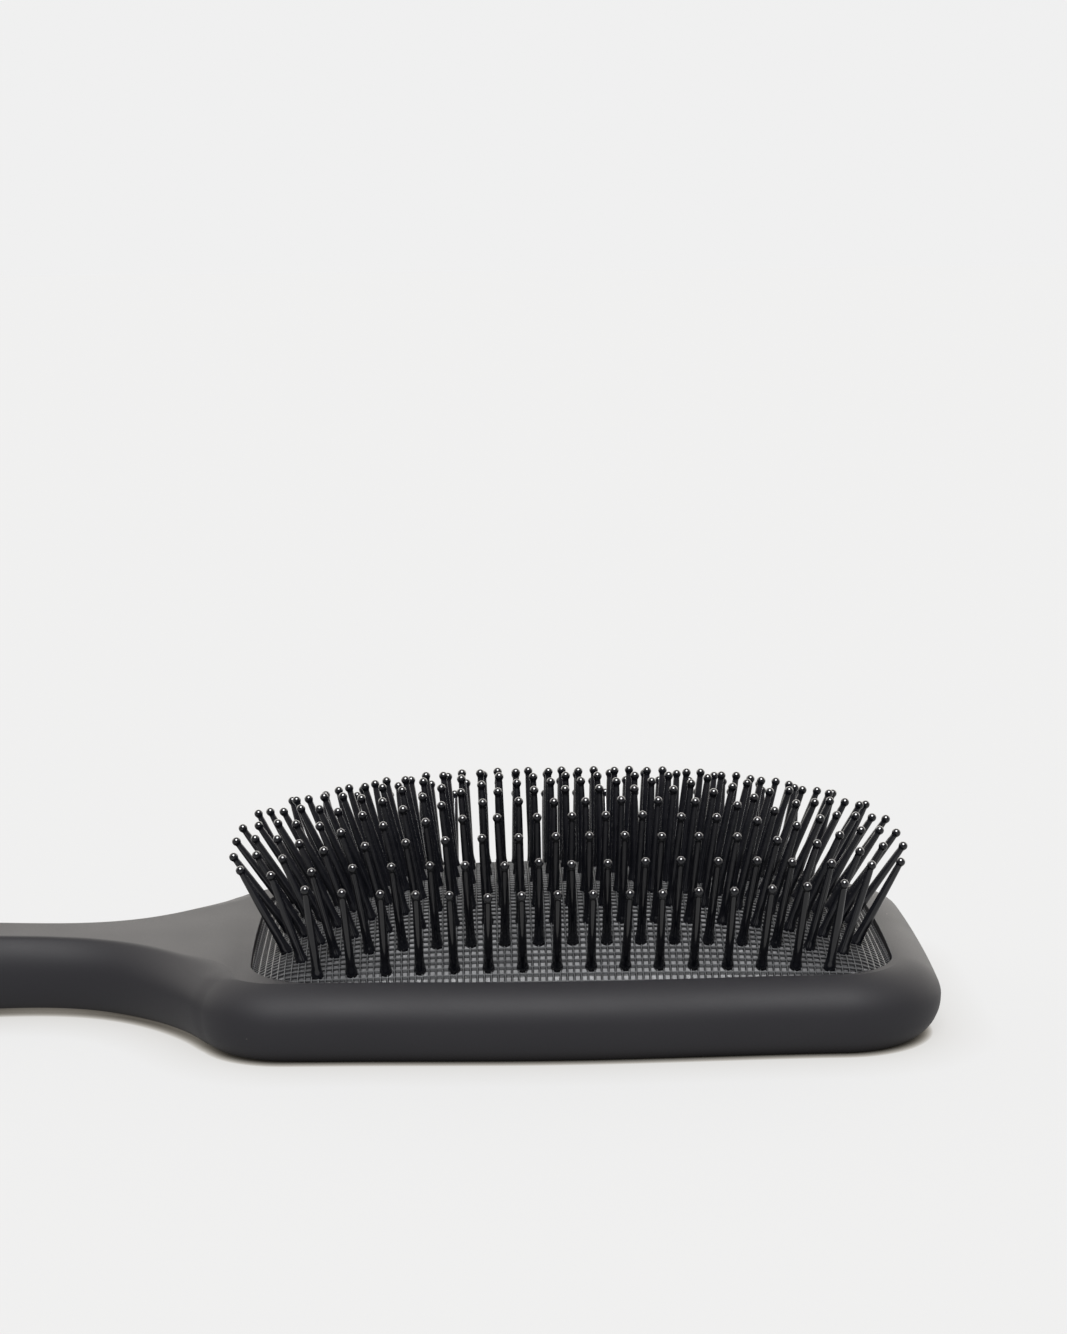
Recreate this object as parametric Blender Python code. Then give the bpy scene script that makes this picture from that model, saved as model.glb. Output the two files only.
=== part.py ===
"""Paddle hair brush: a hollow two-shell body, a domed air cushion and thirteen rows of ball-tipped pins.

Metres, +Z up. The brush lies on its back with the pins up. +X points to the tip of the head and the
handle ends at -X. The origin is under the middle of the whole brush, on the surface it lies on.
Places along the brush are worked out from the middle of the head, which sits at x = HEAD_X.
"""
import math

import bmesh
import bpy
from mathutils import Vector

MM = 0.001

# Overall
BRUSH_LENGTH = 250 * MM
CLEARANCE = 0.3 * MM
CUT_OVERRUN = 2 * MM

# Pins: a staggered field, each row offset by half a pitch from the next
PIN_PITCH = 6.0 * MM
ROW_PITCH = 5.05 * MM
ROW_COUNTS = (16, 17, 18, 17, 18, 17, 18, 17, 18, 17, 18, 17, 16)
PIN_LENGTH = 17.2 * MM
PIN_FOOT = 1.7 * MM
PIN_NECK = 1.05 * MM
PIN_NECK_BELOW_BALL = 0.75 * MM
BALL_DIAMETER = 1.6 * MM
LEAN_ALONG_GAIN = 1.65
LEAN_ACROSS_GAIN = 0.76

# Slices of the cushion's backing that carry the rows
STRIP_THICKNESS = 1.2 * MM
STRIP_LIP = 0.25 * MM
STRIP_GAP = 1.1 * MM
END_CELL = 2.0 * MM

# Opening for the cushion, a rounded rectangle in the flat face of the head, set round the pins
END_MARGIN = 6.7 * MM
OPENING_BOW = 0.4 * MM
SIDE_BOW = 1.5 * MM
OPENING_HALF_LENGTH = (max(ROW_COUNTS) - 1) / 2 * PIN_PITCH + END_MARGIN
OPENING_HALF_WIDTH = (len(ROW_COUNTS) - 1) / 2 * ROW_PITCH + PIN_FOOT / 2 + STRIP_LIP + STRIP_GAP
OPENING_CORNER_X = (ROW_COUNTS[0] - 1) / 2 * PIN_PITCH
OPENING_CORNER = OPENING_HALF_LENGTH - OPENING_BOW - OPENING_CORNER_X

# Cushion: a domed rubber membrane with a skirt and a flange that is clamped under the rim
DOME_HEIGHT = 10.7 * MM
DOME_POWER_ALONG = 3.1
DOME_POWER_ACROSS = 2.4
MEMBRANE = 1.4 * MM
FLANGE_REACH = 1.8 * MM
STRIP_TO_MEMBRANE = 0.4 * MM
CUSHION_GAP = 0.6 * MM

# Head of the body
HEAD_THICKNESS = 13.5 * MM
RIM_THICKNESS = 2.2 * MM
TIP_BAND = 0.9 * MM
SIDE_LIP = 0.3 * MM
SHOULDER_BAND = 0.6 * MM
RIDGE_HALF_LENGTH = OPENING_HALF_LENGTH + TIP_BAND
RIDGE_HALF_WIDTH = OPENING_HALF_WIDTH + SIDE_LIP
RIDGE_TIP_CORNER = 11.0 * MM
RIDGE_TIP_BOW = 0.4 * MM
SHOULDER_X = OPENING_HALF_LENGTH + SHOULDER_BAND
SHOULDER_CORNER = 12.0 * MM
SIDE_BULGE = 5.2 * MM
TIP_BULGE = 7.8 * MM
SIDE_UNDER = 3.3 * MM
TIP_UNDER = 6.0 * MM
WIDEST_SHARE = 0.52

# Handle and neck
WAIST_HALF_WIDTH = 4.8 * MM
GRIP_HALF_WIDTH = 6.6 * MM
NECK_LENGTH = 43.8 * MM
NECK_POWER = 2.9
HANDLE_BULGE = 3.0 * MM
HANDLE_UNDER = 3.3 * MM
GRIP_RISE = 1.5 * MM
ARCH_LIFT = 0.7 * MM
GRIP_START_SHARE = 0.63

# How far the side turns from upright before it meets the top face: all the way on the head, which has
# no edge there, and less on the handle, which has one
HEAD_ROLL_ANGLE = math.radians(90)
HANDLE_ROLL_ANGLE = math.radians(52)

# Walls and inner pieces
SHELL_WALL = 2.0 * MM
COVER_THICKNESS = 1.8 * MM
COVER_LAND = 1.0 * MM
LEDGE_WIDTH = 0.8 * MM
TRAY_INSET = 0.4 * MM
TRAY_WALL = 2.0 * MM
TRAY_FLOOR = 1.6 * MM

# Steps of the curved outlines
END_STEPS = 2
CORNER_STEPS = 6
STRAIGHT_STEPS = 8
NECK_STEPS = 9
GRIP_STEPS = 9
UPPER_STEPS = 5
LOWER_STEPS = 5
PAD_CORNER_STEPS = 5
DOME_RING_SHARES = (0.94, 0.84, 0.70, 0.52, 0.30)
SHOULDER_STEPS = 4

# Angles past which an edge is shaded sharp
PLASTIC_EDGE_ANGLE = math.radians(35)
RUBBER_EDGE_ANGLE = math.radians(50)

HEAD_X = BRUSH_LENGTH / 2 - RIDGE_HALF_LENGTH - TIP_BULGE
HANDLE_END = BRUSH_LENGTH / 2 + HEAD_X
NECK_START = SHOULDER_X + NECK_LENGTH
RIM_Z = HEAD_THICKNESS


def smooth(share):
    """Eases from 0 to 1."""
    share = min(max(share, 0.0), 1.0)
    return share * share * (3 - 2 * share)


def make_object(name, bm, material, origin=(0.0, 0.0, 0.0)):
    """Turns a bmesh in head coordinates into a named object with its origin at a place in them."""
    bmesh.ops.recalc_face_normals(bm, faces=bm.faces)
    bmesh.ops.translate(bm, verts=bm.verts, vec=-Vector(origin))
    mesh = bpy.data.meshes.new(name)
    bm.to_mesh(mesh)
    bm.free()
    mesh.materials.append(material)
    obj = bpy.data.objects.new(name, mesh)
    bpy.context.scene.collection.objects.link(obj)
    obj.location = Vector((HEAD_X, 0.0, 0.0)) + Vector(origin)
    return obj


def make_material(name, colour, roughness, metallic=0.0):
    material = bpy.data.materials.new(name)
    material.use_nodes = True
    shader = material.node_tree.nodes["Principled BSDF"]
    shader.inputs["Base Color"].default_value = (*colour, 1.0)
    shader.inputs["Roughness"].default_value = roughness
    shader.inputs["Metallic"].default_value = metallic
    material.diffuse_color = (*colour, 1.0)
    return material


def cut(obj, cutter):
    """Takes the cutter's volume out of the object, and hides the cutter."""
    cutter.hide_render = True
    cutter.display_type = "WIRE"
    modifier = obj.modifiers.new("cut_" + cutter.name, "BOOLEAN")
    modifier.operation = "DIFFERENCE"
    modifier.object = cutter


def shade(obj, edge_angle):
    obj.data.shade_smooth()
    obj.data.set_sharp_from_angle(angle=edge_angle)


def dome(x, y):
    """Height of the cushion over the rim plane, and its slopes along and across."""
    u = min(abs(x) / OPENING_HALF_LENGTH, 1.0)
    v = min(abs(y) / OPENING_HALF_WIDTH, 1.0)
    along = 1 - u ** DOME_POWER_ALONG
    across = 1 - v ** DOME_POWER_ACROSS
    slope_x = -DOME_HEIGHT * across * DOME_POWER_ALONG * u ** (DOME_POWER_ALONG - 1) / OPENING_HALF_LENGTH
    slope_y = -DOME_HEIGHT * along * DOME_POWER_ACROSS * v ** (DOME_POWER_ACROSS - 1) / OPENING_HALF_WIDTH
    return DOME_HEIGHT * along * across, math.copysign(slope_x, -x), math.copysign(slope_y, -y)


def ridge_half_width(x):
    """Half width of the flat top face along the handle and neck, at distance x behind the head's middle."""
    if x <= NECK_START:
        share = (NECK_START - x) / NECK_LENGTH
        return WAIST_HALF_WIDTH + (RIDGE_HALF_WIDTH - WAIST_HALF_WIDTH) * max(share, 0.0) ** NECK_POWER
    share = (x - NECK_START) / (HANDLE_END - NECK_START)
    swell = math.sin(math.pi * smooth(share / GRIP_START_SHARE) / 2)
    return WAIST_HALF_WIDTH + (GRIP_HALF_WIDTH - WAIST_HALF_WIDTH) * swell


def arc(centre_x, centre_y, radius, start, end, steps):
    """Points on an arc after its start, as (x, y)."""
    points = []
    for i in range(1, steps + 1):
        angle = start + (end - start) * i / steps
        points.append((centre_x + radius * math.cos(angle), centre_y + radius * math.sin(angle)))
    return points


def bowed_end(corner_x, corner_y, radius, bow):
    """The +Y half of an end that bows outward a little between its corners, from its middle."""
    points = []
    for i in range(END_STEPS + 1):
        share = i / END_STEPS
        points.append((corner_x + radius + bow * (1 - share * share), corner_y * share))
    return points


def bowed_side(start_x, end_x, y):
    """Points along a long side after its start, which stands out a little in its middle."""
    points = []
    for i in range(1, STRAIGHT_STEPS + 1):
        share = i / STRAIGHT_STEPS
        out = SIDE_BOW * math.sin(math.pi * share) ** 2
        points.append((start_x + (end_x - start_x) * share, y + out))
    return points


def ridge_outline():
    """The +Y half of the flat top face's edge, from the tip of the head to the end of the handle."""
    corner_x = RIDGE_HALF_LENGTH - RIDGE_TIP_BOW - RIDGE_TIP_CORNER
    corner_y = RIDGE_HALF_WIDTH - RIDGE_TIP_CORNER
    points = bowed_end(corner_x, corner_y, RIDGE_TIP_CORNER, RIDGE_TIP_BOW)
    points += arc(corner_x, corner_y, RIDGE_TIP_CORNER, 0, math.pi / 2, CORNER_STEPS)

    # The shoulder's arc turns the side of the head into the sloping start of the neck
    slope = NECK_POWER * (RIDGE_HALF_WIDTH - WAIST_HALF_WIDTH) / NECK_LENGTH
    turn = math.atan(slope)
    shoulder_x = SHOULDER_X - SHOULDER_CORNER * math.tan(turn / 2)
    points += bowed_side(corner_x, -shoulder_x, RIDGE_HALF_WIDTH)
    shoulder = arc(-shoulder_x, RIDGE_HALF_WIDTH - SHOULDER_CORNER, SHOULDER_CORNER,
                   math.pi / 2, math.pi / 2 + turn, SHOULDER_STEPS)
    points += shoulder

    first = -shoulder[-1][0]
    for i in range(1, NECK_STEPS + 1):
        x = first + (NECK_START - first) * i / NECK_STEPS
        points.append((-x, ridge_half_width(x)))
    end_radius = ridge_half_width(HANDLE_END)
    grip_end = HANDLE_END - HANDLE_BULGE - end_radius
    for i in range(1, GRIP_STEPS + 1):
        x = NECK_START + (grip_end - NECK_START) * i / GRIP_STEPS
        points.append((-x, ridge_half_width(x)))
    points += arc(-grip_end, 0, end_radius, math.pi / 2, math.pi, CORNER_STEPS)
    points[-1] = (points[-1][0], 0.0)
    return points


def closed_outline(half):
    """Mirrors the half outline across Y = 0 and gives each point its outward normal."""
    ring = half + [(x, -y) for x, y in reversed(half[1:-1])]
    out = []
    for i, (x, y) in enumerate(ring):
        before = Vector(ring[i - 1])
        after = Vector(ring[(i + 1) % len(ring)])
        along = (after - before).normalized()
        out.append((Vector((x, y)), Vector((along.y, -along.x))))
    return out


def body_part(x):
    """0 on the head, 1 on the handle, easing through the neck."""
    return smooth((-x - SHOULDER_X) / NECK_LENGTH)


def bulge_at(x, normal):
    """How far the side stands out beyond the top face's edge, and how far it draws in again below."""
    tip = max(normal.x, 0.0) ** 2
    bulge = SIDE_BULGE + (TIP_BULGE - SIDE_BULGE) * tip
    under = SIDE_UNDER + (TIP_UNDER - SIDE_UNDER) * tip
    handle = body_part(x)
    return bulge + (HANDLE_BULGE - bulge) * handle, under + (HANDLE_UNDER - under) * handle


def top_z(x):
    """Height of the flat top face."""
    reach = GRIP_START_SHARE * (HANDLE_END - SHOULDER_X)
    return HEAD_THICKNESS + GRIP_RISE * smooth((-x - SHOULDER_X) / reach)


def bottom_z(x):
    """Height of the back, which arches clear of the surface under the neck."""
    reach = GRIP_START_SHARE * (HANDLE_END - SHOULDER_X)
    share = min(max((-x - SHOULDER_X) / reach, 0.0), 1.0)
    return ARCH_LIFT * math.sin(math.pi * share) ** 2


def side_at(share, x):
    """The side's profile at a share of the height: the shares of its bulge and of its draw-in that apply."""
    if share <= WIDEST_SHARE:
        return 1.0, 1 - math.sqrt(1 - (1 - share / WIDEST_SHARE) ** 2)
    roll = HEAD_ROLL_ANGLE + (HANDLE_ROLL_ANGLE - HEAD_ROLL_ANGLE) * body_part(x)
    sine = (share - WIDEST_SHARE) / (1 - WIDEST_SHARE) * math.sin(roll)
    return 1 - (1 - math.sqrt(max(1 - sine * sine, 0.0))) / (1 - math.cos(roll)), 0.0


def side_levels():
    """Height shares of the rings, closer together where the side curves most."""
    lower = [WIDEST_SHARE * (1 - math.sin(math.pi / 2 * (1 - i / LOWER_STEPS))) for i in range(LOWER_STEPS)]
    upper = [math.sin(HEAD_ROLL_ANGLE * i / UPPER_STEPS) for i in range(UPPER_STEPS + 1)]
    return lower + [WIDEST_SHARE + (1 - WIDEST_SHARE) * rise for rise in upper]


def ring_points(outline, share, wall=0.0, lift=0.0):
    """One ring of the body at a share of its height, drawn in by a wall and then lifted."""
    points = []
    for at, normal in outline:
        bulge, under = bulge_at(at.x, normal)
        kept, drawn = side_at(share, at.x)
        place = at + normal * (bulge * kept - under * drawn - wall)
        low = bottom_z(at.x)
        points.append(Vector((place.x, place.y, low + (top_z(at.x) - low) * share + lift)))
    return points


def loft(rings):
    """Joins rings of equal count into a tube and closes both ends with strips across the brush."""
    bm = bmesh.new()
    rows = [[bm.verts.new(point) for point in ring] for ring in rings]
    count = len(rows[0])
    for lower, upper in zip(rows, rows[1:]):
        for i in range(count):
            k = (i + 1) % count
            bm.faces.new((lower[i], lower[k], upper[k], upper[i]))
    for row in (rows[0], rows[-1]):
        for i in range(count // 2):
            corners = [row[i], row[i + 1], row[count - i - 1], row[-i]]
            unique = []
            for vert in corners:
                if vert not in unique:
                    unique.append(vert)
            bm.faces.new(unique)
    return bm


def pad_outline(offset):
    """The cushion opening's rounded rectangle, offset outward, as a closed ring of (x, y)."""
    radius = OPENING_CORNER + offset
    centre_x = OPENING_CORNER_X
    centre_y = OPENING_HALF_WIDTH - OPENING_CORNER
    end = bowed_end(centre_x, centre_y, radius, OPENING_BOW)
    half = end + arc(centre_x, centre_y, radius, 0, math.pi / 2, PAD_CORNER_STEPS)
    half += bowed_side(centre_x, -centre_x, centre_y + radius)
    half += arc(-centre_x, centre_y, radius, math.pi / 2, math.pi, PAD_CORNER_STEPS)
    half += [(-x, y) for x, y in reversed(end[:-1])]
    return half + [(x, -y) for x, y in reversed(half[1:-1])]


def flat_ring(offset, z):
    return [Vector((x, y, z)) for x, y in pad_outline(offset)]


def make_front_shell(outline, material):
    """Top face, rim and sides in one moulding, open below for the cover and above for the cushion."""
    levels = side_levels()
    shell = make_object("front_shell", loft([ring_points(outline, share) for share in levels]), material)

    # The hollow runs from the cover's ledge to the underside of the top face
    ledge_z = COVER_THICKNESS + CLEARANCE
    ledge_wall = COVER_LAND + LEDGE_WIDTH
    ceiling = 1 - RIM_THICKNESS / HEAD_THICKNESS
    floor = (ledge_z + LEDGE_WIDTH) / HEAD_THICKNESS
    rings = [
        ring_points(outline, 0.0, ledge_wall, ledge_z - CUT_OVERRUN),
        ring_points(outline, 0.0, ledge_wall, ledge_z),
    ]
    rings += [ring_points(outline, share, SHELL_WALL) for share in levels if floor < share < ceiling]
    rings.append(ring_points(outline, ceiling, SHELL_WALL))
    cut(shell, make_object("hollow_cutter", loft(rings), material))

    recess = loft([
        ring_points(outline, 0.0, COVER_LAND, -CUT_OVERRUN),
        ring_points(outline, 0.0, COVER_LAND, ledge_z),
    ])
    cut(shell, make_object("recess_cutter", recess, material))

    opening = loft([flat_ring(0.0, RIM_Z - RIM_THICKNESS - CUT_OVERRUN), flat_ring(0.0, RIM_Z + CUT_OVERRUN)])
    cut(shell, make_object("opening_cutter", opening, material))
    shade(shell, PLASTIC_EDGE_ANGLE)
    return shell


def make_back_cover(outline, material):
    """The plate that closes the underside of the head and the handle."""
    edge = COVER_LAND + CLEARANCE
    plate = loft([ring_points(outline, 0.0, edge), ring_points(outline, 0.0, edge, COVER_THICKNESS)])
    cover = make_object("back_cover", plate, material)
    shade(cover, PLASTIC_EDGE_ANGLE)
    return cover


def make_cushion_tray(material):
    """The tray under the cushion: its wall clamps the flange up against the rim, its floor shuts the air in."""
    outer = -TRAY_INSET
    inner = outer - TRAY_WALL
    low = COVER_THICKNESS + CLEARANCE
    floor = low + TRAY_FLOOR
    high = RIM_Z - RIM_THICKNESS - CLEARANCE - MEMBRANE - CLEARANCE
    bm = loft([flat_ring(outer, low), flat_ring(outer, high), flat_ring(inner, high), flat_ring(inner, floor)])
    tray = make_object("cushion_tray", bm, material)
    shade(tray, PLASTIC_EDGE_ANGLE)
    return tray


def make_cushion(material):
    """The domed rubber membrane with its skirt and flange."""
    edge = -CUSHION_GAP
    flange_top = RIM_Z - RIM_THICKNESS - CLEARANCE
    flange_low = flange_top - MEMBRANE
    drop = STRIP_THICKNESS + STRIP_TO_MEMBRANE
    rings = []
    for share in reversed(DOME_RING_SHARES):
        ring = [Vector((x * share, y * share, 0)) for x, y in pad_outline(edge)]
        rings.append([Vector((p.x, p.y, RIM_Z + dome(p.x, p.y)[0] - drop)) for p in ring])
    skirt_top = RIM_Z - drop
    outer = rings + [flat_ring(edge, skirt_top), flat_ring(edge, flange_top), flat_ring(FLANGE_REACH, flange_top)]
    inner = [flat_ring(FLANGE_REACH, flange_low), flat_ring(edge - MEMBRANE, flange_low)]
    inner.append(flat_ring(edge - MEMBRANE, skirt_top - MEMBRANE))
    inner += [[Vector((p.x, p.y, p.z - MEMBRANE)) for p in ring] for ring in reversed(rings)]
    cushion = make_object("cushion", loft(outer + inner), material)
    shade(cushion, RUBBER_EDGE_ANGLE)
    return cushion


def strip_end(y, last_pin):
    """How far a pin strip reaches along the brush at a distance y from its middle."""
    radius = OPENING_CORNER - STRIP_GAP
    beyond = max(abs(y) - (OPENING_HALF_WIDTH - OPENING_CORNER), 0.0)
    reach = OPENING_CORNER_X + math.sqrt(max(radius * radius - beyond * beyond, 0.0))
    return max(reach, last_pin + PIN_FOOT / 2 + STRIP_LIP)


def square(centre, side, along, across):
    """Corners of a square ring of a pin, in the order of its cell's corners."""
    half = side / 2
    return [centre + along * (half * a) + across * (half * b) for a, b in ((-1, -1), (1, -1), (1, 1), (-1, 1))]


def add_pin(bm, cell, x, y):
    """Grows one ball-tipped pin out of the top of its cell of the strip."""
    height, slope_x, slope_y = dome(x, y)
    base = Vector((x, y, RIM_Z + height))
    lean = Vector((-slope_x * LEAN_ALONG_GAIN, -slope_y * LEAN_ACROSS_GAIN, 1.0)).normalized()
    along = (Vector((1.0, 0.0, 0.0)) - lean * lean.x).normalized()
    across = lean.cross(along)
    foot = []
    for corner in square(base, PIN_FOOT, Vector((1.0, 0.0, 0.0)), Vector((0.0, 1.0, 0.0))):
        foot.append(bm.verts.new((corner.x, corner.y, RIM_Z + dome(corner.x, corner.y)[0])))
    neck_at = base + lean * (PIN_LENGTH - PIN_NECK_BELOW_BALL)
    neck = [bm.verts.new(p) for p in square(neck_at, PIN_NECK, along, across)]
    ball_at = base + lean * PIN_LENGTH
    ball = [bm.verts.new(p) for p in square(ball_at, BALL_DIAMETER / math.sqrt(2), along, across)]
    tip = bm.verts.new(ball_at + lean * (BALL_DIAMETER / 2))
    rings = [cell, foot, neck, ball]
    for i in range(4):
        k = (i + 1) % 4
        for lower, upper in zip(rings, rings[1:]):
            bm.faces.new((lower[i], lower[k], upper[k], upper[i]))
        bm.faces.new((ball[i], ball[k], tip))


def make_pin_row(number, material):
    """One row of pins on its slice of the cushion's backing, which follows the dome."""
    count = ROW_COUNTS[number]
    middle = (len(ROW_COUNTS) - 1) / 2
    y = (number - middle) * ROW_PITCH
    half = (ROW_PITCH - CLEARANCE) / 2
    lip = PIN_FOOT / 2 + STRIP_LIP
    low_y = y - (lip if number == 0 else half)
    high_y = y + (lip if number == len(ROW_COUNTS) - 1 else half)
    pins = [(i - (count - 1) / 2) * PIN_PITCH for i in range(count)]

    # Cell edges lie halfway between pins, with a plain cell at each end where there is room for it
    low_end = strip_end(low_y, pins[-1])
    high_end = strip_end(high_y, pins[-1])
    edges = [pins[0] - PIN_PITCH / 2] + [x + PIN_PITCH / 2 for x in pins]
    plain_ends = min(low_end, high_end) > edges[-1] + END_CELL
    columns = edges if plain_ends else edges[1:-1]
    low_edge = [-low_end] + columns + [low_end]
    high_edge = [-high_end] + columns + [high_end]

    bm = bmesh.new()

    def edge_verts(xs, at_y, drop):
        return [bm.verts.new((x, at_y, RIM_Z + dome(x, at_y)[0] - drop)) for x in xs]

    top_low = edge_verts(low_edge, low_y, 0.0)
    top_high = edge_verts(high_edge, high_y, 0.0)
    under_low = edge_verts(low_edge, low_y, STRIP_THICKNESS)
    under_high = edge_verts(high_edge, high_y, STRIP_THICKNESS)
    last = len(low_edge) - 1
    for i in range(last):
        cell = [top_low[i], top_low[i + 1], top_high[i + 1], top_high[i]]
        pin = i - 1 if plain_ends else i
        if 0 <= pin < count:
            add_pin(bm, cell, pins[pin], y)
        else:
            bm.faces.new(cell)
        bm.faces.new((under_low[i], under_low[i + 1], under_high[i + 1], under_high[i]))
        bm.faces.new((top_low[i], top_low[i + 1], under_low[i + 1], under_low[i]))
        bm.faces.new((top_high[i], top_high[i + 1], under_high[i + 1], under_high[i]))
    for i in (0, last):
        bm.faces.new((top_low[i], top_high[i], under_high[i], under_low[i]))
    name = f"pin_row_{number + 1:02d}"
    return make_object(name, bm, material, (0.0, y, RIM_Z))


def main():
    for obj in list(bpy.data.objects):
        bpy.data.objects.remove(obj)
    soft_black = make_material("soft_touch_black", (0.045, 0.044, 0.043), 0.55)
    outline = closed_outline(ridge_outline())
    make_front_shell(outline, soft_black)
    make_back_cover(outline, soft_black)
    make_cushion_tray(make_material("tray_black", (0.03, 0.03, 0.03), 0.6))
    make_cushion(make_material("rubber_black", (0.05, 0.05, 0.05), 0.6))
    glossy_black = make_material("glossy_black", (0.012, 0.012, 0.013), 0.2)
    for number in range(len(ROW_COUNTS)):
        make_pin_row(number, glossy_black)


main()
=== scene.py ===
"""Looks of a paddle hair brush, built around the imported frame.

Metres, +Z up. The brush lies on its back, pins up, with the tip of its head at +X and its handle at -X.
Shapes are worked out in head coordinates, whose origin is on the floor under the middle of the head.
"""

import math
import random

import bmesh
import bpy
import numpy as np
from mathutils import Matrix, Vector


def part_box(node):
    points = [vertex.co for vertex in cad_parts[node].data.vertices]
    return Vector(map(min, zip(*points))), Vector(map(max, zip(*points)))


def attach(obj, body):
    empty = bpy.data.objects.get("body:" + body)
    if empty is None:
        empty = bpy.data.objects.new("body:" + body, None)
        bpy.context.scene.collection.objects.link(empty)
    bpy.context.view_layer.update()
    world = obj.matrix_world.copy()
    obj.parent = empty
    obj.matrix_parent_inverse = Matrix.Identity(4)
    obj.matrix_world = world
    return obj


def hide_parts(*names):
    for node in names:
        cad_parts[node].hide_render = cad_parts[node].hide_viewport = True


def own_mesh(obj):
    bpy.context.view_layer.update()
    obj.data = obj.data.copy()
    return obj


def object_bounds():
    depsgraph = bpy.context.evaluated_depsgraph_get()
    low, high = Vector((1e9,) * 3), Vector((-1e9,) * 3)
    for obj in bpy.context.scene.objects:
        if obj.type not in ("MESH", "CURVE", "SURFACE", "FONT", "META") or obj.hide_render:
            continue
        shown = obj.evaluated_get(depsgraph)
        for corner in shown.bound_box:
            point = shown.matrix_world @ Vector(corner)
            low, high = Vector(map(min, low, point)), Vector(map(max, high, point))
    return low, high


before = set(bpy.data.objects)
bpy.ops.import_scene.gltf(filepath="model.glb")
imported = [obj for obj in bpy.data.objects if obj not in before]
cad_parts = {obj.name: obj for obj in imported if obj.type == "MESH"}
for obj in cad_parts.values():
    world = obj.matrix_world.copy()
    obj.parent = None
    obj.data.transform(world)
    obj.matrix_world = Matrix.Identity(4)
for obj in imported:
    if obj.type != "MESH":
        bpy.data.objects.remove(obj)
cad_low, cad_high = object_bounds()

MM = 0.001

# Places taken from the frame
CUSHION_LOW, CUSHION_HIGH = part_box("cushion")
HEAD_X = (CUSHION_LOW.x + CUSHION_HIGH.x) / 2
HANDLE_END = HEAD_X - cad_low.x

# Pins, each of which leans by the dome's slope under it times a gain, and a little by chance
PIN_PITCH = 6.0 * MM
ROW_PITCH = 5.05 * MM
ROW_COUNTS = (16, 17, 18, 17, 18, 17, 18, 17, 18, 17, 18, 17, 16)
PIN_LENGTH = 17.2 * MM
LEAN_ALONG_GAIN = 1.65
LEAN_ACROSS_GAIN = 0.76
BALL_RADIUS = 0.82 * MM
LEAN_SPREAD = math.radians(0.7)
LENGTH_SPREAD = 0.12 * MM
PIN_SEED = 7
PIN_SIDES = 18
BALL_STEPS = 9
PIN_SHARP_ANGLE = math.radians(60)

# A pin's radius at distances along it from the cushion's surface, up to its neck
PIN_PROFILE = (
    (-2.6 * MM, 0.62 * MM),
    (-0.8 * MM, 1.04 * MM),
    (-0.2 * MM, 1.12 * MM),
    (0.3 * MM, 1.08 * MM),
    (0.8 * MM, 0.97 * MM),
    (1.5 * MM, 0.88 * MM),
    (3.0 * MM, 0.82 * MM),
    (8.0 * MM, 0.76 * MM),
    (13.0 * MM, 0.67 * MM),
    (15.6 * MM, 0.61 * MM),
    (16.2 * MM, 0.575 * MM),
    (16.5 * MM, 0.565 * MM),
)

# Opening for the cushion
OPENING_HALF_LENGTH = 57.7 * MM
OPENING_HALF_WIDTH = 32.5 * MM
OPENING_CORNER_X = 45.0 * MM
OPENING_CORNER = 12.3 * MM
OPENING_BOW = 0.4 * MM
SIDE_BOW = 1.5 * MM
LIP_ROUND = 0.12 * MM

# Cushion
DOME_HEIGHT = 10.7 * MM
DOME_POWER_ALONG = 3.1
DOME_POWER_ACROSS = 2.4
MEMBRANE = 1.4 * MM
MEMBRANE_GAP = 0.08 * MM
FLANGE_REACH = 1.8 * MM
FLANGE_TOP = 11.0 * MM
FLANGE_LOW = 9.6 * MM
EDGE_SINK = 0.3 * MM
EDGE_SINK_REACH = 3.0 * MM
END_SINK = 1.0 * MM
END_SINK_REACH = 7.5 * MM
SLOPE_STEP = 0.05 * MM
UNDER_RING_SHARES = (0.94, 0.84, 0.70, 0.52, 0.30)
MEMBRANE_SHARP_ANGLE = math.radians(18)

# Moulded grid on the cushion: thin ribs round small square pits
GRID_PITCH = 1.21 * MM
RIB_TOP = 0.10 * MM
PIT_SLOPE = 0.19 * MM
PIT_DEPTH = 0.31 * MM

# Body: the ridge is the edge of its flat top face, outside which the side bulges to its widest part
HEAD_THICKNESS = 13.5 * MM
RIM_THICKNESS = 2.2 * MM
RIDGE_HALF_LENGTH = 58.6 * MM
RIDGE_HALF_WIDTH = 32.8 * MM
RIDGE_TIP_CORNER = 11.0 * MM
RIDGE_TIP_BOW = 0.4 * MM
SHOULDER_X = 58.3 * MM
SHOULDER_CORNER = 12.0 * MM
SIDE_BULGE = 5.2 * MM
TIP_BULGE = 7.8 * MM
SIDE_UNDER = 3.3 * MM
TIP_UNDER = 6.0 * MM
WIDEST_SHARE = 0.52
WAIST_HALF_WIDTH = 4.8 * MM
GRIP_HALF_WIDTH = 6.6 * MM
NECK_LENGTH = 43.8 * MM
NECK_POWER = 2.9
HANDLE_BULGE = 3.0 * MM
HANDLE_UNDER = 3.3 * MM
GRIP_START_SHARE = 0.63
WAIST_X = SHOULDER_X + NECK_LENGTH

# Heights of the handle's top face and of its underside, against the head's
GRIP_RISE = 1.5 * MM
ARCH_LIFT = 0.7 * MM
HANDLE_LIFT = 0.45 * MM
LIFT_BLEND = 9.0 * MM
LIFT_END = 112.0 * MM
LIFT_FADE = 30.0 * MM
NECK_ARCH = 0.5 * MM
NECK_ARCH_START = 42.0 * MM
NECK_ARCH_END = 84.0 * MM

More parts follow.
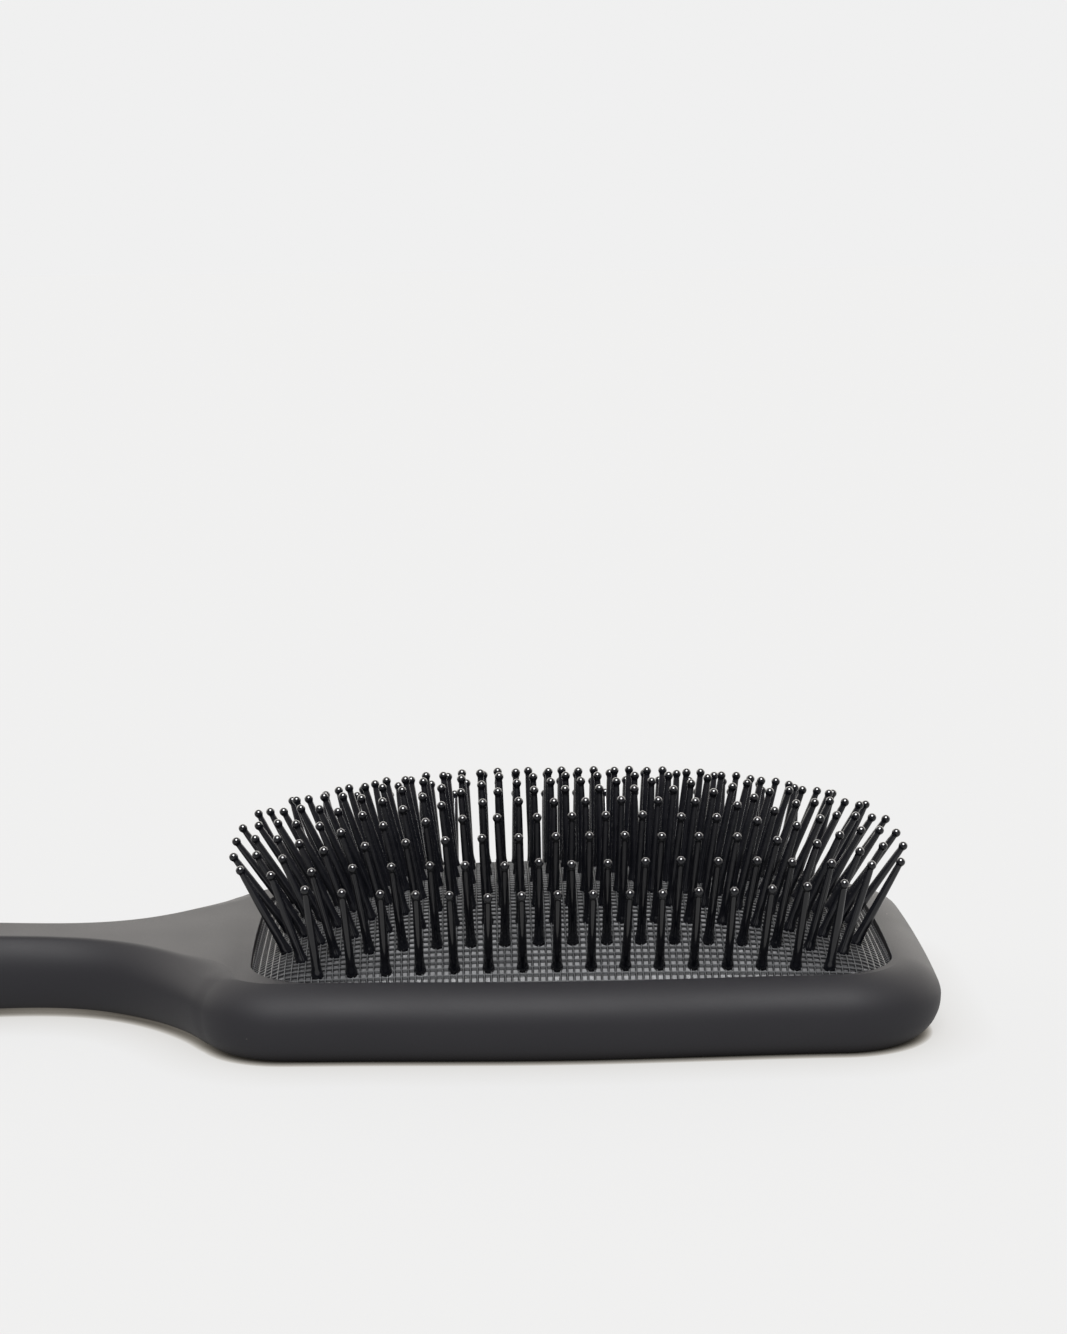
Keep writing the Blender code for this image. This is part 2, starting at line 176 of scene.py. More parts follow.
# How far the side turns in before it meets the top face, and the rounding where they meet
SIDE_ROLL_ANGLE = math.radians(64)
TIP_ROLL_ANGLE = math.radians(90)
HANDLE_ROLL_ANGLE = math.radians(52)
ROLL_BLEND_START = 56.0 * MM
ROLL_BLEND = 16.0 * MM
HEAD_EDGE_ROUND = 0.10 * MM
SHOULDER_EDGE_ROUND = 2.6 * MM
SHOULDER_BLEND_START = 58.0 * MM
SHOULDER_BLEND = 6.5 * MM
NECK_BLEND = 7.0 * MM
HANDLE_EDGE_ROUND = 0.7 * MM
EDGE_SUPPORT = 0.02 * MM
BODY_SHARP_ANGLE = math.radians(50)

# Walls and the parting line of the back
SHELL_WALL = 2.0 * MM
COVER_THICKNESS = 1.8 * MM
COVER_LAND = 1.0 * MM
LEDGE_WIDTH = 0.8 * MM
CLEARANCE = 0.3 * MM
PARTING_BEVEL = 0.15 * MM

# Steps of the curved outlines, and the heights of the hollow's rings
END_STEPS = 8
CORNER_STEPS = 16
SIDE_STEPS = 48
SHOULDER_STEPS = 10
NECK_STEPS = 44
GRIP_STEPS = 44
LOWER_STEPS = 14
UPPER_STEPS = 16
EDGE_STEPS = 5
WALL_SHARES = (0.22, 0.32, 0.42, 0.52, 0.60, 0.68, 0.76)

# Camera, as fitted to the photograph: place, angles and focal length in pixels of the photograph
PHOTO_HEIGHT = 1334
CAMERA_PITCH = math.radians(10.59)
CAMERA_YAW = math.radians(-1.35)
CAMERA_ROLL = math.radians(-0.52)
CAMERA_DISTANCE = 783.84 * MM
CAMERA_TARGET = Vector((0.31 * MM, 264.34 * MM, HEAD_THICKNESS))
FOCAL_PIXELS = 2816.3
SENSOR = 36.0
CAMERA_CLIP = 10.0 * MM

# Light: the sky goes from its front to its back level, and to its high level overhead, between two
# directions, each given by the Y or the Z of a unit vector
SUN_ELEVATION = math.radians(54)
SUN_AZIMUTH = math.radians(-4)
SUN_SIZE = math.radians(28)
SUN_STRENGTH = 4.0
PIN_LIGHT_ELEVATION = math.radians(66)
PIN_LIGHT_AZIMUTH = math.radians(3)
PIN_LIGHT_SIZE = math.radians(42)
PIN_LIGHT_STRENGTH = 13.0
BACKDROP = 0.871
SKY_TINT = (1.0, 0.965, 0.91)
SKY_FRONT = 0.40
SKY_BACK = 3.05
SKY_HIGH = 0.5
SKY_FRONT_Y = -0.1
SKY_BACK_Y = 0.5
SKY_LOW_Z = 0.60
SKY_HIGH_Z = 0.85

# Floor, which glows evenly, with a painted contact shadow and a wider faint painted shade where something
# stands close over it
FLOOR_SIZE = 6.0
FLOOR_ALBEDO = 0.06
FLOOR_CLOUD = 600.0 * MM
FLOOR_CLOUD_SHARE = 0.01
FLOOR_GLOW = 0.750
CONTACT_SHADOW_REACH = 1.8 * MM
CONTACT_SHADOW_POWER = 1.6
SHADE_REACH = 12.0 * MM
SHADE_SHARE = 0.25
CONTACT_SHADOW_TINT = (1.0, 0.90, 0.74)
CONTACT_SAMPLES = 16

# Noise of the materials: octaves, how rough it is, and the range that most of its values lie in
FULL_DETAIL = 3.0
SOFT_DETAIL = 2.0
NOISE_ROUGHNESS = 0.55
NOISE_LOW = 0.35
NOISE_HIGH = 0.65

# Soft-touch coating
COATING_DARK = (0.0090, 0.0086, 0.0114)
COATING_PALE = (0.0108, 0.0104, 0.0132)
COATING_DUST = (0.22, 0.21, 0.19)
COATING_ROUGHNESS = (0.58, 0.63)
COATING_SPECULAR = 0.33
COATING_CLOUD = 26.0 * MM
COATING_GRAIN = 0.16 * MM
COATING_GRAIN_ROUGHNESS = (-0.03, 0.03)
COATING_GRAIN_DEPTH = 0.006 * MM
COATING_DUST_CELL = 7.0 * MM
COATING_DUST_SIZE = 0.16 * MM
COATING_DUST_SHARE = 0.35
COATING_DUST_ROUGHNESS = 0.3

# Nylon of the pins
NYLON_DARK = (0.0013, 0.0014, 0.0021)
NYLON_PALE = (0.0025, 0.0026, 0.0035)
NYLON_ROUGHNESS = (0.07, 0.12)
NYLON_SPECULAR = 0.40
NYLON_FLOW = 1.4 * MM
NYLON_RIPPLE = 0.9 * MM
NYLON_RIPPLE_DEPTH = 0.008 * MM

# Rubber of the cushion. The pits' floors carry a painted pale reflection of the overhead light, which fades
# to painted shade towards the short ends. Rib tops are painted paler as lit, and pit walls near black as
# shade.
# The colours of ribs and pits blend over shares of the grid's pitch.
RIB_LIT_COLOUR = (0.070, 0.072, 0.076)
PIT_WALL_SHADE = (0.003, 0.003, 0.004)
PIT_GLINT_DARK = (0.118, 0.120, 0.125)
PIT_GLINT_PALE = (0.190, 0.193, 0.200)
PIT_GLINT_FADED = (0.030, 0.030, 0.033)
GLINT_FADE_START = 28.0 * MM
GLINT_FADE_END = 50.0 * MM
RIB_BLEND_SHARE = 0.04
PIT_BLEND_SHARES = (-0.06, 0.02)
RUBBER_DUST = (0.20, 0.20, 0.19)
RUBBER_ROUGHNESS = 0.42
PIT_FLOOR_ROUGHNESS = 0.30
RUBBER_SPECULAR = 0.27
RUBBER_CLOUD = 9.0 * MM
RUBBER_GRAIN = 0.12 * MM
RUBBER_GRAIN_ROUGHNESS = (-0.04, 0.04)
RUBBER_GRAIN_DEPTH = 0.004 * MM
RUBBER_DUST_CELL = 2.2 * MM
RUBBER_DUST_SIZE = 0.10 * MM
RUBBER_DUST_SHARE = 0.25

# Plastic of the tray
TRAY_DARK = (0.026, 0.026, 0.026)
TRAY_PALE = (0.036, 0.036, 0.036)
TRAY_ROUGHNESS = (0.48, 0.62)
TRAY_GRAIN = 0.35 * MM
TRAY_GRAIN_DEPTH = 0.01 * MM


def smooth(share):
    """Eases from 0 to 1."""
    share = np.clip(share, 0.0, 1.0)
    return share * share * (3 - 2 * share)


def swell(share):
    """Rises softly from 0 to 1 and falls to 0 again."""
    return np.sin(math.pi * np.clip(share, 0.0, 1.0)) ** 2


# Outlines

def arc(centre_x, centre_y, radius, start, end, steps):
    """Points on an arc after its start."""
    angles = start + (end - start) * np.arange(1, steps + 1) / steps
    return [(centre_x + radius * math.cos(angle), centre_y + radius * math.sin(angle)) for angle in angles]


def bowed_end(corner_x, corner_y, radius, bow):
    """The +Y half of an end that bows outward a little between its corners, from its middle."""
    shares = np.arange(END_STEPS + 1) / END_STEPS
    return [(corner_x + radius + bow * (1 - share * share), corner_y * share) for share in shares]


def bowed_side(start_x, end_x, y):
    """Points along a long side after its start, which stands out a little in its middle."""
    shares = np.arange(1, SIDE_STEPS + 1) / SIDE_STEPS
    return [(start_x + (end_x - start_x) * share, y + SIDE_BOW * swell(share)) for share in shares]


def ridge_half_width(x):
    """Half width of the flat top face of neck and handle, at distance x behind the head's middle."""
    if x <= WAIST_X:
        share = max((WAIST_X - x) / NECK_LENGTH, 0.0)
        return WAIST_HALF_WIDTH + (RIDGE_HALF_WIDTH - WAIST_HALF_WIDTH) * share ** NECK_POWER
    share = (x - WAIST_X) / (HANDLE_END - WAIST_X)
    grip = math.sin(math.pi * smooth(share / GRIP_START_SHARE) / 2)
    return WAIST_HALF_WIDTH + (GRIP_HALF_WIDTH - WAIST_HALF_WIDTH) * grip


def mirrored(half):
    """Closes the +Y half of an outline across Y = 0."""
    return np.array(half + [(x, -y) for x, y in reversed(half[1:-1])])


def outward(ring):
    """Outward unit normals of a closed ring of points."""
    along = np.roll(ring, -1, 0) - np.roll(ring, 1, 0)
    along /= np.linalg.norm(along, axis=1)[:, None]
    return np.column_stack([along[:, 1], -along[:, 0]])


def ridge_outline():
    """The edge of the flat top face, from the tip of the head round by +Y to the handle and back."""
    corner_x = RIDGE_HALF_LENGTH - RIDGE_TIP_BOW - RIDGE_TIP_CORNER
    corner_y = RIDGE_HALF_WIDTH - RIDGE_TIP_CORNER
    points = bowed_end(corner_x, corner_y, RIDGE_TIP_CORNER, RIDGE_TIP_BOW)
    points += arc(corner_x, corner_y, RIDGE_TIP_CORNER, 0, math.pi / 2, CORNER_STEPS)
    turn = math.atan(NECK_POWER * (RIDGE_HALF_WIDTH - WAIST_HALF_WIDTH) / NECK_LENGTH)
    shoulder_x = SHOULDER_X - SHOULDER_CORNER * math.tan(turn / 2)
    points += bowed_side(corner_x, -shoulder_x, RIDGE_HALF_WIDTH)
    points += arc(-shoulder_x, RIDGE_HALF_WIDTH - SHOULDER_CORNER, SHOULDER_CORNER,
                  math.pi / 2, math.pi / 2 + turn, SHOULDER_STEPS)
    first = -points[-1][0]
    for i in range(1, NECK_STEPS + 1):
        x = first + (WAIST_X - first) * i / NECK_STEPS
        points.append((-x, ridge_half_width(x)))
    end_radius = ridge_half_width(HANDLE_END)
    grip_end = HANDLE_END - HANDLE_BULGE - end_radius
    for i in range(1, GRIP_STEPS + 1):
        x = WAIST_X + (grip_end - WAIST_X) * i / GRIP_STEPS
        points.append((-x, ridge_half_width(x)))
    points += arc(-grip_end, 0, end_radius, math.pi / 2, math.pi, CORNER_STEPS)
    points[-1] = (points[-1][0], 0.0)
    return mirrored(points)


def opening_outline(offset):
    """The cushion opening's rounded rectangle, offset outward."""
    radius = OPENING_CORNER + offset
    centre_y = OPENING_HALF_WIDTH - OPENING_CORNER
    end = bowed_end(OPENING_CORNER_X, centre_y, radius, OPENING_BOW)
    half = end + arc(OPENING_CORNER_X, centre_y, radius, 0, math.pi / 2, CORNER_STEPS)
    half += bowed_side(OPENING_CORNER_X, -OPENING_CORNER_X, centre_y + radius)
    half += arc(-OPENING_CORNER_X, centre_y, radius, math.pi / 2, math.pi, CORNER_STEPS)
    half += [(-x, y) for x, y in reversed(end[:-1])]
    return mirrored(half)


# Body surface

class Side:
    """The body's side, as rings round the ridge outline."""

    def __init__(self):
        self.at = ridge_outline()
        self.normal = outward(self.at)
        x = self.at[:, 0]
        handle = smooth((-x - SHOULDER_X) / NECK_LENGTH)
        tip = np.maximum(self.normal[:, 0], 0) ** 2
        bulge = SIDE_BULGE + (TIP_BULGE - SIDE_BULGE) * tip
        under = SIDE_UNDER + (TIP_UNDER - SIDE_UNDER) * tip
        self.bulge = bulge + (HANDLE_BULGE - bulge) * handle
        self.under = under + (HANDLE_UNDER - under) * handle
        roll = SIDE_ROLL_ANGLE + (TIP_ROLL_ANGLE - SIDE_ROLL_ANGLE) * tip * tip
        self.roll = roll + (HANDLE_ROLL_ANGLE - roll) * smooth((-x - ROLL_BLEND_START) / ROLL_BLEND)
        rise = (-x - SHOULDER_X) / (GRIP_START_SHARE * (HANDLE_END - SHOULDER_X))
        arch = (-x - NECK_ARCH_START) / (NECK_ARCH_END - NECK_ARCH_START)
        lift = HANDLE_LIFT * smooth((-x - SHOULDER_X) / LIFT_BLEND)
        lift = lift * (1 - smooth((-x - LIFT_END) / LIFT_FADE))
        self.top = HEAD_THICKNESS + GRIP_RISE * smooth(rise) + lift
        self.low = ARCH_LIFT * swell(rise) + lift + NECK_ARCH * swell(arch)
        shoulder = smooth((-x - SHOULDER_BLEND_START) / SHOULDER_BLEND)
        neck = smooth((-x - SHOULDER_BLEND_START - SHOULDER_BLEND) / NECK_BLEND)
        self.edge = HEAD_EDGE_ROUND + (SHOULDER_EDGE_ROUND - HEAD_EDGE_ROUND) * shoulder
        self.edge += (HANDLE_EDGE_ROUND - SHOULDER_EDGE_ROUND) * neck

    def place(self, out, height_share, lift=0.0):
        """A ring at a distance outside the ridge and at a share of the body's height."""
        flat = self.at + self.normal * np.broadcast_to(out, len(self.at))[:, None]
        z = self.low + (self.top - self.low) * height_share + lift
        return np.column_stack([flat, z])

    def lower(self, share, wall=0.0, lift=0.0):
        """A ring below the widest part."""
        drawn = 1 - math.sqrt(1 - (1 - share / WIDEST_SHARE) ** 2)
        return self.place(self.bulge - self.under * drawn - wall, share, lift)

    def upper(self, turned, wall=0.0):
        """A ring above the widest part, where the side has turned by an angle."""
        kept = 1 - (1 - np.cos(turned)) / (1 - np.cos(self.roll))
        share = WIDEST_SHARE + (1 - WIDEST_SHARE) * np.sin(turned) / np.sin(self.roll)
        return self.place(self.bulge * kept - wall, share)

    def inner(self, share):
        """A ring of the hollow."""
        if share <= WIDEST_SHARE:
            return self.lower(share, SHELL_WALL)
        sine = (share - WIDEST_SHARE) / (1 - WIDEST_SHARE) * np.sin(self.roll)
        return self.upper(np.arcsin(sine), SHELL_WALL)

    def edge_rings(self):
        """The upper side, its rounding into the flat top face, and a ring that keeps that face flat."""

        # How far the side rises and closes in per radian of turn, where it reaches the ridge
        height = (self.top - self.low) * (1 - WIDEST_SHARE)
        rising = height / np.tan(self.roll)
        closing = self.bulge * np.sin(self.roll) / (1 - np.cos(self.roll))
        last_turn = self.roll - self.edge / np.hypot(rising, closing)
        rings = [self.upper(last_turn * i / UPPER_STEPS) for i in range(1, UPPER_STEPS + 1)]
        start = rings[-1]
        corner = self.place(0.0, 1.0)
        end = self.place(-self.edge, 1.0)
        for share in np.arange(1, EDGE_STEPS + 1) / EDGE_STEPS:
            left = 1 - share
            rings.append(left ** 2 * start + 2 * share * left * corner + share * share * end)
        rings.append(self.place(-self.edge - EDGE_SUPPORT, 1.0))
        return rings


# Mesh helpers

def add_ring(bm, points):
    """Adds a ring's vertices."""
    return [bm.verts.new(point) for point in points]


def bridge(bm, first, second):
    """Joins two rings with quads."""
    count = len(first)
    for i in range(count):
        k = (i + 1) % count
        bm.faces.new((first[i], first[k], second[k], second[i]))


def bridge_all(bm, rings):
    """Joins each ring with the next."""
    for first, second in zip(rings, rings[1:]):
        bridge(bm, first, second)


def close_across(bm, ring, start=0):
    """Closes a ring with strips across the brush, from a point of its +Y half to its far end."""
    count = len(ring)
    for i in range(start, count // 2):
        unique = []
        for vert in (ring[i], ring[i + 1], ring[count - i - 1], ring[-i]):
            if vert not in unique:
                unique.append(vert)
        bm.faces.new(unique)


def close_round(bm, ring, opening):
    """Closes the head's part of a flat face round the opening, and the handle's part with strips."""
    count = len(ring)
    behind = -OPENING_HALF_LENGTH - OPENING_BOW
    start = next(i for i, vert in enumerate(ring) if vert.co.x < behind)
    close_across(bm, ring, start)
    loop = [ring[i % count] for i in range(-start, start + 1)]
    edges = [bm.edges.get(pair) for pair in zip(loop, loop[1:])]
    edges.append(bm.edges.get((loop[0], loop[-1])))
    edges += [bm.edges.get((opening[i - 1], opening[i])) for i in range(len(opening))]
    bmesh.ops.triangle_fill(bm, use_beauty=True, edges=edges, normal=(0, 0, 1))


def finish_mesh(name, bm, material, body, sharp_angle):
    """Turns a bmesh in head coordinates into a piece of the brush that rides on a body."""
    bmesh.ops.recalc_face_normals(bm, faces=bm.faces)
    bmesh.ops.translate(bm, verts=bm.verts, vec=Vector((HEAD_X, 0.0, 0.0)))
    mesh = bpy.data.meshes.new(name)
    bm.to_mesh(mesh)
    bm.free()
    mesh.materials.append(material)
    mesh.shade_smooth()
    mesh.set_sharp_from_angle(angle=sharp_angle)
    obj = bpy.data.objects.new(name, mesh)
    bpy.context.scene.collection.objects.link(obj)
    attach(obj, body)
    return obj


# Pieces

def make_shell(side, material):
    """The moulding with the flat top face, the sides, the cushion's opening and the recess for the back."""
    bm = bmesh.new()
    falls = [math.sin(math.pi / 2 * (1 - i / LOWER_STEPS)) for i in range(LOWER_STEPS + 1)]
    ledge_z = COVER_THICKNESS + CLEARANCE
    ceiling = 1 - RIM_THICKNESS / HEAD_THICKNESS
    inside = [side.inner(ceiling)]
    inside += [side.inner(share) for share in reversed(WALL_SHARES)]
    inside += [
        side.lower(0.0, COVER_LAND + LEDGE_WIDTH, ledge_z),
        side.lower(0.0, COVER_LAND, ledge_z),
        side.lower(0.0, COVER_LAND, PARTING_BEVEL),
        side.lower(0.0, COVER_LAND - PARTING_BEVEL),
    ]
    outside = [side.lower(WIDEST_SHARE * (1 - fall)) for fall in falls] + side.edge_rings()
    rings = [add_ring(bm, points) for points in inside + outside]
    bridge_all(bm, rings)

    # The opening's wall and its slightly rounded lip
    def wall_ring(offset, z):
        return add_ring(bm, [(x, y, z) for x, y in opening_outline(offset)])

    wall = [wall_ring(0.0, HEAD_THICKNESS - RIM_THICKNESS)]
    for i in range(EDGE_STEPS + 1):
        angle = math.pi / 2 * i / EDGE_STEPS
        drop = LIP_ROUND * (1 - math.sin(angle))
        wall.append(wall_ring(LIP_ROUND * (1 - math.cos(angle)), HEAD_THICKNESS - drop))
    wall.append(wall_ring(LIP_ROUND + EDGE_SUPPORT, HEAD_THICKNESS))
    bridge_all(bm, wall)
    close_round(bm, rings[0], wall[0])
    close_round(bm, rings[-1], wall[-1])
    shell = finish_mesh("body_shell", bm, material, "brush_body", BODY_SHARP_ANGLE)
    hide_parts("front_shell")
    return shell


def make_back(side, material):
    """The plate that closes the underside of the head and the handle."""
    bm = bmesh.new()
    edge = COVER_LAND + CLEARANCE
    rings = [
        side.lower(0.0, edge + PARTING_BEVEL + EDGE_SUPPORT),
        side.lower(0.0, edge + PARTING_BEVEL),
        side.lower(0.0, edge, PARTING_BEVEL),
        side.lower(0.0, edge, COVER_THICKNESS),
    ]
    rings = [add_ring(bm, points) for points in rings]
    bridge_all(bm, rings)
    close_across(bm, rings[0])
    close_across(bm, rings[-1])
    back = finish_mesh("back_plate", bm, material, "brush_body", BODY_SHARP_ANGLE)
    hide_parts("back_cover")
    return back


def dome(x, y):
    """Height of the cushion's surface over the rim plane, before its edge sinks."""
    along = 1 - np.abs(x / OPENING_HALF_LENGTH) ** DOME_POWER_ALONG
    across = 1 - np.abs(y / OPENING_HALF_WIDTH) ** DOME_POWER_ACROSS
    return DOME_HEIGHT * along * across


def inside_edge(x, y):
    """Distance inside the opening's edge."""
    along = (OPENING_CORNER_X - x) / (2 * OPENING_CORNER_X)
    half_width = OPENING_HALF_WIDTH + SIDE_BOW * swell(along)
    past_x = np.abs(x) - OPENING_CORNER_X
    past_y = np.abs(y) - (half_width - OPENING_CORNER)
    outside = np.hypot(np.maximum(past_x, 0), np.maximum(past_y, 0))
    inside = np.minimum(np.maximum(past_x, past_y), 0)
    return OPENING_CORNER - (outside + inside)


def cushion_z(x, y):
    """Height of the cushion's surface, whose edge sinks below the rim, more so at the short ends."""
    depth = inside_edge(x, y)
    sink = EDGE_SINK * (1 - smooth(depth / EDGE_SINK_REACH))
    sink = sink + END_SINK * smooth((np.abs(x) - OPENING_HALF_LENGTH + END_SINK_REACH) / END_SINK_REACH)
    return HEAD_THICKNESS + dome(x, y) - sink


def cushion_normal(x, y):
    """Unit normals of the cushion's surface."""
    slope_x = (cushion_z(x + SLOPE_STEP, y) - cushion_z(x - SLOPE_STEP, y)) / (2 * SLOPE_STEP)
    slope_y = (cushion_z(x, y + SLOPE_STEP) - cushion_z(x, y - SLOPE_STEP)) / (2 * SLOPE_STEP)
    normal = np.stack([-slope_x, -slope_y, np.ones_like(slope_x)], -1)
    return normal / np.linalg.norm(normal, axis=-1, keepdims=True)


def grid_lines(half_length):
    """Places of the grid's lines on one axis, and which of them edge a pit's floor."""
    cells = math.ceil(half_length / GRID_PITCH + 0.5)
    rib = RIB_TOP / 2
    floor = rib + PIT_SLOPE
    starts = np.arange(-cells, cells) * GRID_PITCH
    inside = np.array([rib, floor, GRID_PITCH - floor, GRID_PITCH - rib])
    lines = (starts[:, None] + inside[None, :]).ravel()
    return lines, np.tile([False, True, True, False], len(starts))


def boundary_loop(bm):
    """The mesh's open edge as an ordered loop of vertices."""
    first = next(edge for edge in bm.edges if edge.is_boundary).verts[0]
    loop = [first]
    seen = {first}
    while True:
        after = None
        for edge in loop[-1].link_edges:
            if edge.is_boundary and edge.other_vert(loop[-1]) not in seen:
                after = edge.other_vert(loop[-1])
                break
        if after is None:
            return loop
        loop.append(after)
        seen.add(after)


class MembraneEdge:
    """The cushion's edge in the opening, whose values are read by the angle round the head's middle."""

    def __init__(self):
        self.at = opening_outline(-MEMBRANE_GAP)
        self.normal = outward(self.at)
        angle = np.arctan2(self.at[:, 1], self.at[:, 0])
        self.order = np.argsort(angle)
        self.angle = angle[self.order]

    def read(self, angle, values):
        return np.interp(angle, self.angle, values[self.order], period=2 * math.pi)

    def reach(self, angle):
        """Distance from the head's middle to the edge."""
        return self.read(angle, np.hypot(*self.at.T))

    def out(self, angle):
        """Unit normals of the edge."""
        normal = np.column_stack([self.read(angle, self.normal[:, k]) for k in range(2)])
        return normal / np.linalg.norm(normal, axis=1)[:, None]


def membrane_top(edge):
    """The cushion's upper surface with its moulded grid, as a mesh whose open edge is the cushion's."""
    xs, x_floor = grid_lines(OPENING_HALF_LENGTH + OPENING_BOW)
    ys, y_floor = grid_lines(OPENING_HALF_WIDTH + SIDE_BOW)
    x, y = np.meshgrid(xs, ys, indexing="ij")
    pit = (x_floor[:, None] & y_floor[None, :]).ravel()
    x = x.ravel()
    y = y.ravel()

    # Points past the opening's edge are drawn in to it along lines from the middle
    reach = edge.reach(np.arctan2(y, x))
    radius = np.hypot(x, y)
    past = radius > reach
    scale = np.where(past, reach / np.maximum(radius, MM), 1.0)
    x = x * scale
    y = y * scale
    points = np.column_stack([x, y, cushion_z(x, y)])
    points -= cushion_normal(x, y) * (PIT_DEPTH * (pit & ~past))[:, None]

    # Quads with all their points past the edge are left out
    number = np.arange(len(x)).reshape(len(xs), len(ys))
    corners = [number[:-1, :-1], number[1:, :-1], number[1:, 1:], number[:-1, 1:]]
    quads = np.stack(corners, -1).reshape(-1, 4)
    quads = quads[~past[quads].all(1)]
    used = np.unique(quads)
    renumber = np.zeros(len(x), int)
    renumber[used] = np.arange(len(used))
    mesh = bpy.data.meshes.new("membrane_top")
    mesh.from_pydata(points[used].tolist(), [], renumber[quads].tolist())
    bm = bmesh.new()
    bm.from_mesh(mesh)
    bpy.data.meshes.remove(mesh)
    return bm


def add_membrane_underside(bm, edge):
    """The skirt, the flange under the rim and the cushion's lower surface."""
    loop = boundary_loop(bm)
    flat = np.array([vert.co[:2] for vert in loop])
    rim = np.array([vert.co.z for vert in loop])
    out = edge.out(np.arctan2(flat[:, 1], flat[:, 0]))

    def ring(offset, z):
        return add_ring(bm, np.column_stack([flat + out * offset, np.broadcast_to(z, len(flat))]))

    rings = [
        loop,
        ring(0.0, FLANGE_TOP),
        ring(FLANGE_REACH, FLANGE_TOP),
        ring(FLANGE_REACH, FLANGE_LOW),
        ring(-MEMBRANE, FLANGE_LOW),
        ring(-MEMBRANE, rim - MEMBRANE),
    ]
    for share in UNDER_RING_SHARES:
        under = flat * share
        z = cushion_z(under[:, 0], under[:, 1]) - MEMBRANE
        rings.append(add_ring(bm, np.column_stack([under, z])))
    bridge_all(bm, rings)
    middle = bm.verts.new((0.0, 0.0, HEAD_THICKNESS + DOME_HEIGHT - MEMBRANE))
    last = rings[-1]
    for i in range(len(last)):
        bm.faces.new((last[i - 1], last[i], middle))


def make_membrane(material):
    """The cushion's rubber skin, with the flange that is clamped under the rim."""
    edge = MembraneEdge()
    bm = membrane_top(edge)
    add_membrane_underside(bm, edge)
    membrane = finish_mesh(
        "cushion_membrane", bm, material, "brush_body", MEMBRANE_SHARP_ANGLE)
    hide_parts("cushion")
    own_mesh(membrane)
    return membrane


def pin_slopes(x, y):
    """Slopes of the dome under a pin."""
    share_x = abs(x) / OPENING_HALF_LENGTH
    share_y = abs(y) / OPENING_HALF_WIDTH
    along = 1 - share_x ** DOME_POWER_ALONG
    across = 1 - share_y ** DOME_POWER_ACROSS
    fall_x = DOME_POWER_ALONG * share_x ** (DOME_POWER_ALONG - 1) / OPENING_HALF_LENGTH
    fall_y = DOME_POWER_ACROSS * share_y ** (DOME_POWER_ACROSS - 1) / OPENING_HALF_WIDTH
    return math.copysign(DOME_HEIGHT * across * fall_x, x), math.copysign(DOME_HEIGHT * along * fall_y, y)


def pin_profile(length):
    """Distances along a pin and radii there, from below the cushion's surface to the top of its ball."""
    longer = length - PIN_LENGTH
    profile = [(at if at < PIN_LENGTH / 2 else at + longer, radius) for at, radius in PIN_PROFILE]
    neck = math.asin(PIN_PROFILE[-1][1] / BALL_RADIUS)
    for i in range(1, BALL_STEPS + 1):
        angle = neck + (math.pi - neck) * i / (BALL_STEPS + 1)
        profile.append((length - BALL_RADIUS * math.cos(angle), BALL_RADIUS * math.sin(angle)))
    return profile


def make_pins(number, material, chance):
    """One row of ball-tipped pins."""
    count = ROW_COUNTS[number]
    y = (number - (len(ROW_COUNTS) - 1) / 2) * ROW_PITCH
    turns = np.arange(PIN_SIDES) * 2 * math.pi / PIN_SIDES
    bm = bmesh.new()
    for i in range(count):
        x = (i - (count - 1) / 2) * PIN_PITCH
        slope_x, slope_y = pin_slopes(x, y)
        lean = Vector((slope_x * LEAN_ALONG_GAIN, slope_y * LEAN_ACROSS_GAIN, 1.0)).normalized()
        lean.x += chance.gauss(0.0, LEAN_SPREAD)
        lean.y += chance.gauss(0.0, LEAN_SPREAD)
        lean.normalize()
        length = PIN_LENGTH - abs(chance.gauss(0.0, LENGTH_SPREAD))
        base = np.array((x, y, HEAD_THICKNESS + dome(x, y)))
        along = (Vector((1.0, 0.0, 0.0)) - lean * lean.x).normalized()
        across = np.array(lean.cross(along))
        around = np.outer(np.cos(turns), np.array(along)) + np.outer(np.sin(turns), across)
        axis = np.array(lean)
        profile = pin_profile(length)
        rings = [add_ring(bm, base + axis * at + around * radius) for at, radius in profile]
        bridge_all(bm, rings)
        bm.faces.new(rings[0])
        top = bm.verts.new(base + axis * (length + BALL_RADIUS))
        for k in range(PIN_SIDES):
            bm.faces.new((rings[-1][k - 1], rings[-1][k], top))
    body = f"row_{number + 1:02d}"
    pins = finish_mesh("pins_" + body, bm, material, body, PIN_SHARP_ANGLE)
    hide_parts(f"pin_row_{number + 1:02d}")
    return pins


def dress_tray(material):
    """The tray stays the frame's own solid, with a material of its own."""
    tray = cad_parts["cushion_tray"]
    tray.data.materials.clear()
    tray.data.materials.append(material)


# Materials

